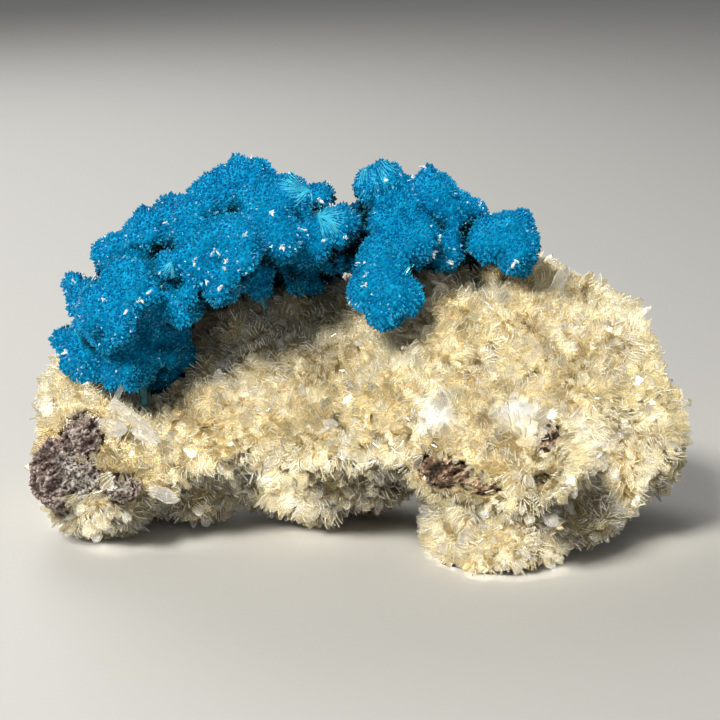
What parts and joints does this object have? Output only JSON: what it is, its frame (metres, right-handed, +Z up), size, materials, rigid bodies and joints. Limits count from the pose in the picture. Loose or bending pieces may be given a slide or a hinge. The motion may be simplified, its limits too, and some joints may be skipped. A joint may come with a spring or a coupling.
{
  "type": "cavansite specimen on stilbite",
  "caption": "Freestanding mineral specimen: an arched crust of blue cavansite rosettes over a bladed cream stilbite druse, with bare basalt showing.",
  "frame": {"origin": "on the surface that the specimen rests on, under the middle of its bounding box", "axes": "+X along the specimen from the arched left end to the boulder on the right, -Y towards the show side, +Z up"},
  "size_m": [0.1001, 0.0492, 0.0567],
  "materials": {
    "stilbite": "translucent cream blades with a vitreous to pearly lustre",
    "cavansite": "vivid azure sugary needles with a vitreous lustre",
    "basalt": "dull purple-brown broken rock with pale specks"
  },
  "bodies": {
    "root": {"stilbite_matrix": "stilbite", "cavansite_arch": "cavansite", "cavansite_crown": "cavansite", "cavansite_ball": "cavansite", "basalt_left": "basalt", "basalt_right": "basalt", "basalt_upper": "basalt"}
  },
  "joints": []
}
